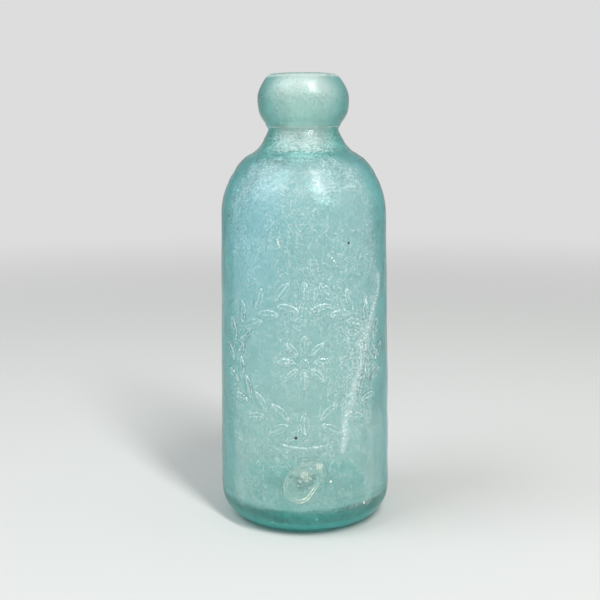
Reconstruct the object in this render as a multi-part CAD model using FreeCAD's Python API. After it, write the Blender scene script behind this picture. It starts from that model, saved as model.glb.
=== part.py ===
import FreeCAD, Part
import math
import os

# A mouth-blown soda bottle of thick aqua glass, one piece, standing on its base.
# The origin is at the middle of the base, +Z is up, and -Y is the embossed front.
# Driving dimensions, in millimetres and degrees.

# Outside of the body
bottle_height = 171.5
heel_diameter = 66.7
heel_radius = 10.5
shoulder_diameter = 63.5
shoulder_radius = 29.9

# Neck and tooled blob lip
neck_diameter = 26.7
neck_lean = 14.0
neck_curve_radius = 14.7
lip_height = 20.5
lip_diameter = 35.0
lip_belly_height = 11.3
lip_top_diameter = 24.1
mouth_bore_diameter = 15.5
mouth_edge_radius = 1.2

# Base
kickup_height = 2.0
bearing_width = 1.6
base_thickness = 7.0
floor_edge_height = 7.4

# Inside
wall_thickness = 4.2
inner_heel_radius = 8.0
shoulder_extra_glass = 2.0
inner_neck_curve_radius = 6.0

# Mould seams up both sides
seam_width = 0.7
seam_relief = 0.2
seam_wiped_length = 5.0

# Embossed front: a wreath of plain leaves round a rosette, over a round plate line
relief = 0.6
relief_root = 1.5
ornament_height = 67.5
wreath_half_width = 29.5
wreath_half_height = 23.0
wreath_pairs_each_side = 9
wreath_open_angle = 14.0
top_leaf_lift = 2.5
leaf_length = 10.0
leaf_width = 4.0
leaf_splay = 34.0
leaf_gap = 0.9
rosette_petals = 8
petal_length = 8.0
petal_width = 3.4
petal_gap = 0.9
rosette_button_diameter = 3.6
plate_diameter = 64.0
plate_line_width = 0.9
plate_line_relief = 0.4
plate_line_reach = 22.0

# Bruise: an oval bowl knocked out of the front near the base
bruise_height = 22.4
bruise_across = -0.8
bruise_depth = 1.3
bruise_long_radius = 65.0
bruise_short_radius = 20.0
bruise_lean = 42.0

# Values that follow from the driving dimensions
heel_r = heel_diameter / 2
shoulder_r = shoulder_diameter / 2
neck_r = neck_diameter / 2
lip_r = lip_diameter / 2
lip_top_r = lip_top_diameter / 2
bore_r = mouth_bore_diameter / 2
lip_seam_height = bottle_height - lip_height
neck_curve_middle_r = neck_r + neck_curve_radius * math.cos(math.radians(neck_lean))
neck_curve_middle_height = lip_seam_height + neck_curve_radius * math.sin(math.radians(neck_lean))
shoulder_middle_r = shoulder_r - shoulder_radius
shoulder_meeting_angle = math.degrees(math.acos(
    (neck_curve_middle_r - shoulder_middle_r) / (shoulder_radius + neck_curve_radius)))
shoulder_start_height = neck_curve_middle_height - (
    shoulder_radius + neck_curve_radius) * math.sin(math.radians(shoulder_meeting_angle))
bearing_outer_r = heel_r - heel_radius
bearing_inner_r = bearing_outer_r - bearing_width
inner_heel_r = heel_r - wall_thickness
inner_shoulder_r = shoulder_r - wall_thickness
inner_shoulder_height = shoulder_start_height - shoulder_extra_glass
inner_shoulder_radius = shoulder_radius - wall_thickness
inner_meeting_angle = math.degrees(math.acos(
    (bore_r + inner_neck_curve_radius - shoulder_middle_r)
    / (inner_shoulder_radius + inner_neck_curve_radius)))
bore_bottom_height = inner_shoulder_height + (
    inner_shoulder_radius + inner_neck_curve_radius) * math.sin(math.radians(inner_meeting_angle))
floor_edge_r = inner_heel_r - inner_heel_radius
floor_middle_height = kickup_height + base_thickness

ORIGIN = FreeCAD.Vector(0, 0, 0)
X_AXIS = FreeCAD.Vector(1, 0, 0)
Y_AXIS = FreeCAD.Vector(0, 1, 0)
Z_AXIS = FreeCAD.Vector(0, 0, 1)


def point(radius, height):
    """A point of the section, which lies in the XZ plane."""
    return FreeCAD.Vector(radius, 0, height)


def line(start, end):
    return Part.LineSegment(start, end).toShape()


def arc(centre, radius, start_angle, end_angle):
    """An arc of the section, between two angles in degrees from +X."""
    angles = (start_angle, (start_angle + end_angle) / 2, end_angle)
    places = [
        point(
            centre.x + radius * math.cos(math.radians(angle)),
            centre.z + radius * math.sin(math.radians(angle)),
        )
        for angle in angles
    ]
    return Part.Arc(*places).toShape()


def dome(middle_height, edge):
    """A shallow arc from the axis, where it is level, down to an edge."""
    rise = middle_height - edge.z
    radius = (edge.x ** 2 + rise ** 2) / (2 * rise)
    half_angle = math.asin(edge.x / radius) / 2
    halfway = point(radius * math.sin(half_angle), middle_height - radius * (1 - math.cos(half_angle)))
    return Part.Arc(point(0, middle_height), halfway, edge).toShape()


def curve(*poles):
    """A smooth curve that leaves and arrives along its handles."""
    bezier = Part.BezierCurve()
    bezier.setPoles(list(poles))
    return bezier.toShape()


def turned(edges):
    """A solid turned about Z from a closed section."""
    section = Part.Face(Part.Wire(Part.__sortEdges__(edges)))
    return section.revolve(ORIGIN, Z_AXIS, 360)


def body_edges(growth):
    """Wall, shoulder and neck up to the lip's seam, grown outwards."""
    shoulder_middle = point(shoulder_middle_r, shoulder_start_height)
    neck_middle = point(neck_curve_middle_r, neck_curve_middle_height)
    return [
        line(point(heel_r + growth, heel_radius), point(shoulder_r + growth, shoulder_start_height)),
        arc(shoulder_middle, shoulder_radius + growth, 0, shoulder_meeting_angle),
        arc(neck_middle, neck_curve_radius - growth, 180 + shoulder_meeting_angle, 180 + neck_lean),
    ]


def body_section(growth):
    """Half of the body's section above the heel, from the axis out to the grown skin."""
    edges = body_edges(growth)
    low = edges[0].Vertexes[0].Point
    high = edges[-1].valueAt(edges[-1].LastParameter)
    edges.append(line(high, point(0, high.z)))
    edges.append(line(point(0, high.z), point(0, low.z)))
    edges.append(line(point(0, low.z), low))
    return Part.Face(Part.Wire(Part.__sortEdges__(edges)))


def grown_body(growth):
    """The body grown outwards, which trims the relief that stands on it."""
    return body_section(growth).revolve(ORIGIN, Z_AXIS, 360)


def lip_edges():
    """The blob lip: it swells from its seam to a belly and closes in to the flat top."""
    belly_height = lip_seam_height + lip_belly_height
    swell = lip_r - neck_r
    crown_height = bottle_height - belly_height
    crown_width = lip_r - lip_top_r
    belly = point(lip_r, belly_height)
    return [
        curve(
            point(neck_r, lip_seam_height),
            point(neck_r + 0.48 * swell, lip_seam_height + 0.2 * lip_belly_height),
            point(lip_r, lip_seam_height + 0.48 * lip_belly_height),
            belly,
        ),
        curve(
            belly,
            point(lip_r, belly_height + 0.43 * crown_height),
            point(lip_top_r + 0.4 * crown_width, belly_height + 0.86 * crown_height),
            point(lip_top_r, bottle_height),
        ),
    ]


def outside():
    """The outer form as a solid plug, with the shallow kick-up under the base."""
    heel = arc(point(bearing_outer_r, heel_radius), heel_radius, -90, 0)
    bearing = line(point(bearing_inner_r, 0), point(bearing_outer_r, 0))
    kickup = dome(kickup_height, point(bearing_inner_r, 0))
    lip_top = line(point(lip_top_r, bottle_height), point(0, bottle_height))
    axis = line(point(0, bottle_height), point(0, kickup_height))
    return turned([kickup, bearing, heel] + body_edges(0) + lip_edges() + [lip_top, axis])


def cavity():
    """The hollow: rounded mouth edge, straight bore, cove, shoulder, wall, heel and floor."""
    shoulder_middle = point(shoulder_middle_r, inner_shoulder_height)
    neck_middle = point(bore_r + inner_neck_curve_radius, bore_bottom_height)
    mouth_r = bore_r + mouth_edge_radius
    bore_top_height = bottle_height - mouth_edge_radius
    above_mouth = bottle_height + mouth_edge_radius
    inner_heel_top = floor_edge_height + inner_heel_radius
    return turned([
        line(point(0, above_mouth), point(mouth_r, above_mouth)),
        line(point(mouth_r, above_mouth), point(mouth_r, bottle_height)),
        arc(point(mouth_r, bore_top_height), mouth_edge_radius, 90, 180),
        line(point(bore_r, bore_top_height), point(bore_r, bore_bottom_height)),
        arc(neck_middle, inner_neck_curve_radius, 180, 180 + inner_meeting_angle),
        arc(shoulder_middle, inner_shoulder_radius, inner_meeting_angle, 0),
        line(point(inner_shoulder_r, inner_shoulder_height), point(inner_heel_r, inner_heel_top)),
        arc(point(floor_edge_r, inner_heel_top), inner_heel_radius, 0, -90),
        dome(floor_middle_height, point(floor_edge_r, floor_edge_height)),
        line(point(0, floor_middle_height), point(0, above_mouth)),
    ])


def mould_seams():
    """A thin fin across the body, grown past it: its edges are the seams on both sides."""
    half = body_section(seam_relief).extrude(seam_width * Y_AXIS)
    half.translate(-seam_width / 2 * Y_AXIS)
    fin = half.fuse(half.mirror(ORIGIN, X_AXIS))
    corner = FreeCAD.Vector(-heel_diameter, -seam_width, 0)
    below_wiped = Part.makeBox(
        2 * heel_diameter, 2 * seam_width, lip_seam_height - seam_wiped_length, corner)
    return fin.common(below_wiped)


def wall_radius(height):
    """Outside radius of the tapering wall."""
    share = (height - heel_radius) / (shoulder_start_height - heel_radius)
    return heel_r + (shoulder_r - heel_r) * share


def on_front(block, across, height, lean):
    """Leans a block in the plane of the front, then carries it round the wall to its place."""
    reach = wall_radius(height)
    block.rotate(ORIGIN, Y_AXIS, lean)
    block.translate(FreeCAD.Vector(0, -reach, height))
    block.rotate(ORIGIN, Z_AXIS, math.degrees(across / reach))
    return block


def leaf(length, width, across, height, lean):
    """A pointed oval block, set half its depth into the wall."""
    front = -relief_root
    tip = FreeCAD.Vector(0, front, length / 2)
    foot = FreeCAD.Vector(0, front, -length / 2)
    right = Part.Arc(tip, FreeCAD.Vector(width / 2, front, 0), foot).toShape()
    left = Part.Arc(foot, FreeCAD.Vector(-width / 2, front, 0), tip).toShape()
    block = Part.Face(Part.Wire([right, left])).extrude(2 * relief_root * Y_AXIS)
    return on_front(block, across, height, lean)


def leaf_from(length, width, across, height, gap, lean):
    """A leaf that grows from a point at a lean, starting a gap away from it."""
    reach = gap + length / 2
    leaf_across = across + reach * math.sin(math.radians(lean))
    leaf_height = height + reach * math.cos(math.radians(lean))
    return leaf(length, width, leaf_across, leaf_height, lean)


def wreath():
    """Pairs of leaves that climb both sides of an oval, with an upright leaf at foot and top."""
    climb = (180.0 - wreath_open_angle) / wreath_pairs_each_side
    foot_height = ornament_height - wreath_half_height
    top_height = ornament_height + wreath_half_height + top_leaf_lift
    leaves = [leaf(leaf_length, leaf_width, 0, height, 0) for height in (foot_height, top_height)]
    for side in (-1, 1):
        for pair in range(wreath_pairs_each_side):
            turn = math.radians((pair + 0.5) * climb)
            across = side * wreath_half_width * math.sin(turn)
            height = ornament_height - wreath_half_height * math.cos(turn)
            run = side * wreath_half_width * math.cos(turn)
            rise = wreath_half_height * math.sin(turn)
            growth = math.degrees(math.atan2(run, rise))
            for splay in (-leaf_splay, leaf_splay):
                leaves.append(leaf_from(leaf_length, leaf_width, across, height, leaf_gap, growth + splay))
    return leaves


def rosette():
    """A ring of petals round a button, in the middle of the wreath."""
    button_r = rosette_button_diameter / 2
    petals = [
        leaf_from(petal_length, petal_width, 0, ornament_height, button_r + petal_gap, lean)
        for lean in [360.0 * number / rosette_petals for number in range(rosette_petals)]
    ]
    button = Part.makeCylinder(button_r, 2 * relief_root, -relief_root * Y_AXIS, Y_AXIS)
    return petals + [on_front(button, 0, ornament_height, 0)]


def plate_line():
    """The low edge of a round mould plate: a thin raised arc below the wreath."""
    radius = plate_diameter / 2
    front = FreeCAD.Vector(0, -heel_r - relief_root, ornament_height)
    ring = Part.makeCylinder(radius + plate_line_width / 2, heel_r, front, Y_AXIS)
    ring = ring.cut(Part.makeCylinder(radius - plate_line_width / 2, heel_r, front, Y_AXIS))
    corner = FreeCAD.Vector(-plate_line_reach / 2, front.y, ornament_height - plate_diameter)
    window = Part.makeBox(plate_line_reach, heel_r, plate_diameter, corner)
    return ring.common(window)


def bruise():
    """A barrel that bites the front: its belly leaves an oval bowl."""
    end_angle = math.radians(20)
    half_length = bruise_long_radius * math.sin(end_angle)
    end_r = bruise_short_radius - bruise_long_radius * (1 - math.cos(end_angle))
    belly = Part.Arc(
        point(end_r, -half_length), point(bruise_short_radius, 0), point(end_r, half_length)).toShape()
    barrel = turned([
        belly,
        line(point(end_r, half_length), point(0, half_length)),
        line(point(0, half_length), point(0, -half_length)),
        line(point(0, -half_length), point(end_r, -half_length)),
    ])
    barrel.rotate(ORIGIN, Y_AXIS, bruise_lean)
    reach = wall_radius(bruise_height)
    barrel.translate(FreeCAD.Vector(0, bruise_depth - reach - bruise_short_radius, bruise_height))
    barrel.rotate(ORIGIN, Z_AXIS, math.degrees(bruise_across / reach))
    return barrel


def bottle():
    ornament = Part.makeCompound(wreath() + rosette()).common(grown_body(relief))
    line_on_wall = plate_line().common(grown_body(plate_line_relief))
    glass = outside().fuse([mould_seams(), line_on_wall] + ornament.Solids)
    return glass.cut(bruise()).cut(cavity())


os.makedirs("parts", exist_ok=True)
shape = bottle()
shape.exportStep("parts/bottle.step")
print("solids", len(shape.Solids), "valid", shape.isValid(), "volume", round(shape.Volume))
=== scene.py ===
import math
from types import SimpleNamespace

import bpy
import numpy as np
from mathutils import Matrix, Vector


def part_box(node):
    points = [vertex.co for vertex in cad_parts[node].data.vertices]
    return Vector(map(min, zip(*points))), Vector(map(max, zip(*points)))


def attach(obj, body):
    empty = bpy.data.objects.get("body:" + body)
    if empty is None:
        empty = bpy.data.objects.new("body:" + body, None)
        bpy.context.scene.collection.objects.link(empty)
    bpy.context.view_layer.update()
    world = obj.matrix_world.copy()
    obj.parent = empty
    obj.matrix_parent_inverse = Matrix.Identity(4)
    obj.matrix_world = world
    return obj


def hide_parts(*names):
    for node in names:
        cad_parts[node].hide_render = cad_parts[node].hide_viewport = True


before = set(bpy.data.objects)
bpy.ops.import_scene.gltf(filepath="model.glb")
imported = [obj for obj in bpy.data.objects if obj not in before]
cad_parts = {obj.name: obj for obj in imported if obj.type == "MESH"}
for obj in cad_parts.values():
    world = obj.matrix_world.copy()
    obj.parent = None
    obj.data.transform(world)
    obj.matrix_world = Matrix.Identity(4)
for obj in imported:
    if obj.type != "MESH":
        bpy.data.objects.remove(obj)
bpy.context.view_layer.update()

# An old aqua soda bottle: mouth-blown, embossed, scratched and hazed, with a bruise low on its front.
# Sizes are in millimetres and angles in degrees, and the mesh is scaled to metres when it is made.
# Round the bottle, angles run from the front, -Y, towards +X. Arcs are measured along the wall.
MM = 0.001

# The glass, as in the solid that it stands for
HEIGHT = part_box("bottle")[1].z / MM
HEEL_R = 33.35
HEEL_RADIUS = 10.5
SHOULDER_R = 31.75
SHOULDER_RADIUS = 29.9
NECK_R = 13.35
NECK_LEAN = 14.0
NECK_CURVE_RADIUS = 14.7
LIP_HEIGHT = 20.5
LIP_R = 17.5
LIP_BELLY_HEIGHT = 11.3
LIP_TOP_R = 12.05
BORE_R = 7.75
MOUTH_EDGE_RADIUS = 1.2
KICKUP_HEIGHT = 2.0
BEARING_WIDTH = 1.6
FLOOR_MIDDLE_HEIGHT = 9.0
FLOOR_EDGE_HEIGHT = 7.4
WALL = 4.2
INNER_HEEL_RADIUS = 8.0
SHOULDER_EXTRA_GLASS = 2.0
INNER_NECK_CURVE_RADIUS = 6.0

# How far the poles of the lip's curves stand along its width and its height, as in the solid
LIP_FOOT_PULL = (0.48, 0.2)
LIP_BELLY_PULL = 0.48
LIP_CROWN_PULL = 0.43
LIP_TOP_PULL = (0.4, 0.86)

# The embossed ornament, as in the solid
RELIEF = 0.6
ORNAMENT_HEIGHT = 67.5
WREATH_HALF_WIDTH = 29.5
WREATH_HALF_HEIGHT = 23.0
WREATH_PAIRS = 9
WREATH_OPEN_ANGLE = 14.0
TOP_LEAF_LIFT = 2.5
LEAF_LENGTH = 10.0
LEAF_WIDTH = 4.0
LEAF_SPLAY = 34.0
LEAF_GAP = 0.9
PETALS = 8
PETAL_LENGTH = 8.0
PETAL_WIDTH = 3.4
PETAL_GAP = 0.9
BUTTON_R = 1.8
PLATE_R = 32.0
PLATE_LINE_RELIEF = 0.35
PLATE_LINE_REACH = 11.0

# The bruise, as in the solid
BRUISE_ARC = -0.8
BRUISE_HEIGHT = 22.4
BRUISE_DEPTH = 1.3
BRUISE_LONG_RADIUS = 65.0
BRUISE_SHORT_RADIUS = 20.0
BRUISE_LEAN = 42.0
CHIP_ARC = 5.5
CHIP_HEIGHT = 28.2

# How finely the mesh is cut: columns in degrees, rows by their distance or their number
FINE_HALF_ANGLE = 65.0
FINE_COLUMN = 0.68
COARSE_COLUMN = 4.2
SEAM_OFFSETS = (-1.4, -0.7, -0.3, 0.0, 0.3, 0.7, 1.4)
INNER_COLUMNS = 100
KICKUP_ROWS = 9
BEARING_ROW = 0.9
HEEL_ROW = 1.1
FINE_ROW = 0.45
UPPER_WALL_ROW = 1.4
SHOULDER_ROW = 0.9
NECK_ROW = 0.7
LIP_LOW_ROWS = 15
LIP_HIGH_ROWS = 14
LIP_TOP_ROW = 0.8
MOUTH_ROW = 0.4
BORE_ROW = 1.6
INNER_NECK_ROW = 0.9
INNER_SHOULDER_ROW = 1.5
INNER_WALL_ROW = 2.2
INNER_HEEL_ROW = 1.2
FLOOR_ROWS = 12
FIRST_DOME_ROW = 0.6
BOX_MARGIN = 0.005

# Where the body's curves meet, worked out as in the solid
LIP_SEAM = HEIGHT - LIP_HEIGHT
NECK_MIDDLE_R = NECK_R + NECK_CURVE_RADIUS * math.cos(math.radians(NECK_LEAN))
NECK_MIDDLE_Z = LIP_SEAM + NECK_CURVE_RADIUS * math.sin(math.radians(NECK_LEAN))
SHOULDER_MIDDLE_R = SHOULDER_R - SHOULDER_RADIUS
MEETING = math.degrees(math.acos(
    (NECK_MIDDLE_R - SHOULDER_MIDDLE_R) / (SHOULDER_RADIUS + NECK_CURVE_RADIUS)))
SHOULDER_START = NECK_MIDDLE_Z - (SHOULDER_RADIUS + NECK_CURVE_RADIUS) * math.sin(math.radians(MEETING))
INNER_HEEL_TOP = FLOOR_EDGE_HEIGHT + INNER_HEEL_RADIUS
INNER_SHOULDER_START = SHOULDER_START - SHOULDER_EXTRA_GLASS
INNER_SHOULDER_RADIUS = SHOULDER_RADIUS - WALL
INNER_MEETING = math.degrees(math.acos(
    (BORE_R + INNER_NECK_CURVE_RADIUS - SHOULDER_MIDDLE_R)
    / (INNER_SHOULDER_RADIUS + INNER_NECK_CURVE_RADIUS)))
BORE_BOTTOM = INNER_SHOULDER_START + (
    INNER_SHOULDER_RADIUS + INNER_NECK_CURVE_RADIUS) * math.sin(math.radians(INNER_MEETING))


def stretch(start, end, step):
    """Points on a straight line, about step apart, without the last."""
    start, end = np.array(start, float), np.array(end, float)
    count = max(1, math.ceil(np.linalg.norm(end - start) / step))
    share = np.arange(count)[:, None] / count
    return start + (end - start) * share


def bend(middle_r, middle_z, radius, start, end, step):
    """Points on an arc between two angles, about step apart, without the last."""
    count = max(2, math.ceil(abs(math.radians(end - start)) * radius / step))
    angles = np.radians(start + (end - start) * np.arange(count) / count)
    return np.column_stack((middle_r + radius * np.cos(angles), middle_z + radius * np.sin(angles)))


def swell(poles, count):
    """Points on a cubic curve with these poles, without the last."""
    a, b, c, d = (np.array(pole, float) for pole in poles)
    t = np.arange(count)[:, None] / count
    return a * (1 - t) ** 3 + 3 * b * t * (1 - t) ** 2 + 3 * c * t ** 2 * (1 - t) + d * t ** 3


def dome(middle_height, edge_r, edge_height, count):
    """Points on a shallow arc from just off the axis out to an edge, without the last."""
    r = edge_r * (np.arange(count) + FIRST_DOME_ROW) / (count + FIRST_DOME_ROW)
    return np.column_stack((r, edge_height + (middle_height - edge_height) * (1 - (r / edge_r) ** 2)))


def outside_line():
    """(r, z) along the outside, from under the base up to the mouth's rounded edge."""
    bearing_outer = HEEL_R - HEEL_RADIUS
    bearing_inner = bearing_outer - BEARING_WIDTH
    belly_z = LIP_SEAM + LIP_BELLY_HEIGHT
    gain = LIP_R - NECK_R
    crown = HEIGHT - belly_z
    crown_width = LIP_R - LIP_TOP_R
    mouth_r = BORE_R + MOUTH_EDGE_RADIUS
    fine_top = ORNAMENT_HEIGHT + WREATH_HALF_HEIGHT + LEAF_LENGTH
    fine_top_r = wall_radius(fine_top)
    return np.vstack((
        dome(KICKUP_HEIGHT, bearing_inner, 0, KICKUP_ROWS),
        stretch((bearing_inner, 0), (bearing_outer, 0), BEARING_ROW),
        bend(bearing_outer, HEEL_RADIUS, HEEL_RADIUS, -90, 0, HEEL_ROW),
        stretch((HEEL_R, HEEL_RADIUS), (fine_top_r, fine_top), FINE_ROW),
        stretch((fine_top_r, fine_top), (SHOULDER_R, SHOULDER_START), UPPER_WALL_ROW),
        bend(SHOULDER_MIDDLE_R, SHOULDER_START, SHOULDER_RADIUS, 0, MEETING, SHOULDER_ROW),
        bend(NECK_MIDDLE_R, NECK_MIDDLE_Z, NECK_CURVE_RADIUS, 180 + MEETING, 180 + NECK_LEAN, NECK_ROW),
        swell((
            (NECK_R, LIP_SEAM),
            (NECK_R + LIP_FOOT_PULL[0] * gain, LIP_SEAM + LIP_FOOT_PULL[1] * LIP_BELLY_HEIGHT),
            (LIP_R, LIP_SEAM + LIP_BELLY_PULL * LIP_BELLY_HEIGHT),
            (LIP_R, belly_z),
        ), LIP_LOW_ROWS),
        swell((
            (LIP_R, belly_z),
            (LIP_R, belly_z + LIP_CROWN_PULL * crown),
            (LIP_TOP_R + LIP_TOP_PULL[0] * crown_width, belly_z + LIP_TOP_PULL[1] * crown),
            (LIP_TOP_R, HEIGHT),
        ), LIP_HIGH_ROWS),
        stretch((LIP_TOP_R, HEIGHT), (mouth_r, HEIGHT), LIP_TOP_ROW),
        bend(mouth_r, HEIGHT - MOUTH_EDGE_RADIUS, MOUTH_EDGE_RADIUS, 90, 180, MOUTH_ROW),
    ))


def inside_line():
    """(r, z) along the hollow, from the top of the bore down to the floor."""
    inner_heel_r = HEEL_R - WALL
    inner_shoulder_r = SHOULDER_R - WALL
    floor_edge_r = inner_heel_r - INNER_HEEL_RADIUS
    neck_middle_r = BORE_R + INNER_NECK_CURVE_RADIUS
    return np.vstack((
        stretch((BORE_R, HEIGHT - MOUTH_EDGE_RADIUS), (BORE_R, BORE_BOTTOM), BORE_ROW),
        bend(neck_middle_r, BORE_BOTTOM, INNER_NECK_CURVE_RADIUS, 180, 180 + INNER_MEETING, INNER_NECK_ROW),
        bend(
            SHOULDER_MIDDLE_R, INNER_SHOULDER_START, INNER_SHOULDER_RADIUS,
            INNER_MEETING, 0, INNER_SHOULDER_ROW),
        stretch((inner_shoulder_r, INNER_SHOULDER_START), (inner_heel_r, INNER_HEEL_TOP), INNER_WALL_ROW),
        bend(floor_edge_r, INNER_HEEL_TOP, INNER_HEEL_RADIUS, 0, -90, INNER_HEEL_ROW),
        dome(FLOOR_MIDDLE_HEIGHT, floor_edge_r, FLOOR_EDGE_HEIGHT, FLOOR_ROWS)[::-1],
    ))


def wall_radius(z):
    """Outside radius of the tapering wall."""
    return HEEL_R + (SHOULDER_R - HEEL_R) * (z - HEEL_RADIUS) / (SHOULDER_START - HEEL_RADIUS)


def smooth(low, high, value):
    """0 below low, 1 above high, and smooth between."""
    t = np.clip((value - low) / (high - low), 0, 1)
    return t * t * (3 - 2 * t)


WAVE_COUNT = 22
WAVE_LENGTHS = (0.7, 1.5)


def waves(places, wavelength, seed):
    """Smooth noise of about unit height: sine waves of near one length, each its own way."""
    draw = np.random.default_rng(seed)
    ways = draw.normal(size=(WAVE_COUNT, places.shape[1]))
    ways /= np.linalg.norm(ways, axis=1)[:, None]
    lengths = wavelength * draw.uniform(*WAVE_LENGTHS, WAVE_COUNT)
    phases = draw.uniform(0, 2 * math.pi, WAVE_COUNT)
    total = np.zeros(len(places))
    for way, length, phase in zip(ways, lengths, phases):
        total += np.sin(places @ way * (2 * math.pi / length) + phase)
    return total * math.sqrt(2 / WAVE_COUNT)


def rolling(places, *table):
    """Waves of several heights, lengths and seeds together."""
    return sum(height * waves(places, wavelength, seed) for height, wavelength, seed in table)


# How the relief's edges and lines are softened
LEAF_EDGE = 0.75
BUTTON_EDGE = 0.8
CREASE_DEPTH = 0.45
CREASE_WIDTH = 0.4
CREASE_START = (0.1, 0.9)
PLATE_LINE_WIDTH = 0.45
PLATE_LINE_FADE = 0.6


def leaf_height(arc, z, length, width, middle_arc, middle_z, lean):
    """Relief of one leaf: a pointed oval with soft edges and a creased midrib."""
    turn = math.radians(lean)
    along = (arc - middle_arc) * math.sin(turn) + (z - middle_z) * math.cos(turn)
    across = (arc - middle_arc) * math.cos(turn) - (z - middle_z) * math.sin(turn)
    curve = (length ** 2 / 4 + width ** 2 / 4) / width
    depth_inside = curve - np.hypot(along, np.abs(across) + curve - width / 2)
    pad = smooth(0, LEAF_EDGE, depth_inside)
    crease = CREASE_DEPTH * np.exp(-(across / CREASE_WIDTH) ** 2) * smooth(*CREASE_START, depth_inside)
    return RELIEF * pad * (1 - crease)


def leaf_from(arc, z, length, width, root_arc, root_z, gap, lean):
    """Relief of a leaf that grows from a root, a gap away from it."""
    reach = gap + length / 2
    middle_arc = root_arc + reach * math.sin(math.radians(lean))
    middle_z = root_z + reach * math.cos(math.radians(lean))
    return leaf_height(arc, z, length, width, middle_arc, middle_z, lean)


def ornament(arc, z):
    """Height of the wreath, the rosette in it and the plate line below."""
    parts = [
        leaf_height(arc, z, LEAF_LENGTH, LEAF_WIDTH, 0, ORNAMENT_HEIGHT - WREATH_HALF_HEIGHT, 0),
        leaf_height(
            arc, z, LEAF_LENGTH, LEAF_WIDTH, 0, ORNAMENT_HEIGHT + WREATH_HALF_HEIGHT + TOP_LEAF_LIFT, 0),
    ]
    climb = (180 - WREATH_OPEN_ANGLE) / WREATH_PAIRS
    for side in (-1, 1):
        for pair in range(WREATH_PAIRS):
            turn = math.radians((pair + 0.5) * climb)
            root_arc = side * WREATH_HALF_WIDTH * math.sin(turn)
            root_z = ORNAMENT_HEIGHT - WREATH_HALF_HEIGHT * math.cos(turn)
            run = side * WREATH_HALF_WIDTH * math.cos(turn)
            growth = math.degrees(math.atan2(run, WREATH_HALF_HEIGHT * math.sin(turn)))
            for splay in (-LEAF_SPLAY, LEAF_SPLAY):
                parts.append(leaf_from(
                    arc, z, LEAF_LENGTH, LEAF_WIDTH, root_arc, root_z, LEAF_GAP, growth + splay))
    for number in range(PETALS):
        petal_lean = 360 * number / PETALS
        parts.append(leaf_from(
            arc, z, PETAL_LENGTH, PETAL_WIDTH, 0, ORNAMENT_HEIGHT, BUTTON_R + PETAL_GAP, petal_lean))
    from_middle = np.hypot(arc, z - ORNAMENT_HEIGHT)
    parts.append(RELIEF * smooth(0, BUTTON_EDGE, BUTTON_R - from_middle))
    line = PLATE_LINE_RELIEF * np.exp(-((from_middle - PLATE_R) / PLATE_LINE_WIDTH) ** 2)
    line = line * (z < ORNAMENT_HEIGHT)
    parts.append(line * (1 - smooth(PLATE_LINE_REACH * PLATE_LINE_FADE, PLATE_LINE_REACH, np.abs(arc))))
    return np.max(parts, axis=0)


# The bruise's unevenness, as wave height, wave length and seed, and the parts that it lies in
BOWL_WAVE = (0.10, 9, 4)
CRUSHED_WAVE = (0.30, 1.5, 5)
CHIP_WAVE = (0.20, 1.4, 6)
BLOW_SQUEEZE = 0.75
RIPPLE_HEIGHT = 0.10
RIPPLES_PER_MM = 2.6
RIPPLE_START = (1.5, 3.5)
CRUSHED_END = (1.4, 3.0)
CHIP_END = (0.8, 2.2)
BOWL_EDGE = 0.4


def bruise_bowl(arc, z):
    """Depth of the pit's plain bowl, less than 0 outside it, and the distance from the blow."""
    turn = math.radians(BRUISE_LEAN)
    along = (arc - BRUISE_ARC) * math.sin(turn) + (z - BRUISE_HEIGHT) * math.cos(turn)
    across = (arc - BRUISE_ARC) * math.cos(turn) - (z - BRUISE_HEIGHT) * math.sin(turn)
    round_wall = 1 / wall_radius(BRUISE_HEIGHT)
    long_curve = 1 / BRUISE_LONG_RADIUS + round_wall * math.sin(turn) ** 2
    short_curve = 1 / BRUISE_SHORT_RADIUS + round_wall * math.cos(turn) ** 2
    uneven = rolling(np.column_stack((arc, z)), BOWL_WAVE)
    bowl = BRUISE_DEPTH + uneven - (along ** 2 * long_curve + across ** 2 * short_curve) / 2
    return bowl, np.hypot(along * BLOW_SQUEEZE, across)


def bruise(arc, z):
    """Depth of the pit: an oval bowl with shell-like ripples round a crushed middle."""
    bowl, from_blow = bruise_bowl(arc, z)
    flat = np.column_stack((arc, z))
    from_chip = np.hypot(arc - CHIP_ARC, z - CHIP_HEIGHT)
    ripples = RIPPLE_HEIGHT * np.sin(from_blow * RIPPLES_PER_MM) * smooth(*RIPPLE_START, from_blow)
    crushed = rolling(flat, CRUSHED_WAVE) * (1 - smooth(*CRUSHED_END, from_blow))
    chips = rolling(flat, CHIP_WAVE) * (1 - smooth(*CHIP_END, from_chip))
    uneven = (ripples + crushed + chips) * smooth(0, BOWL_EDGE, bowl)
    return np.where(bowl > 0, np.maximum(bowl + uneven, 0), 0)


# Where the blown form leaves the mould's plain curves: heights, and how far out the glass stands there
FORM_HEIGHTS = (
    134.0, 137.0, 140.0, 142.6, 145.0, 147.5, 149.6, 151.2, 153.0, 154.6, 157.0, 165.5, 168.5, 171.0)
FORM_SHIFTS = (0.0, 0.30, 0.22, -0.28, 0.10, 0.40, 0.30, 0.10, -0.45, -0.30, 0.0, 0.0, 0.16, 0.35)

# The floor of the hollow leaves its curve too: distances from the axis, and how far in the glass stands
FLOOR_RADII = (8.0, 16.0, 21.0, 24.5, 26.8, 28.6, 29.1)
FLOOR_SHIFTS = (0.0, 0.8, 1.1, 0.4, -1.1, -0.8, 0.0)

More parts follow.
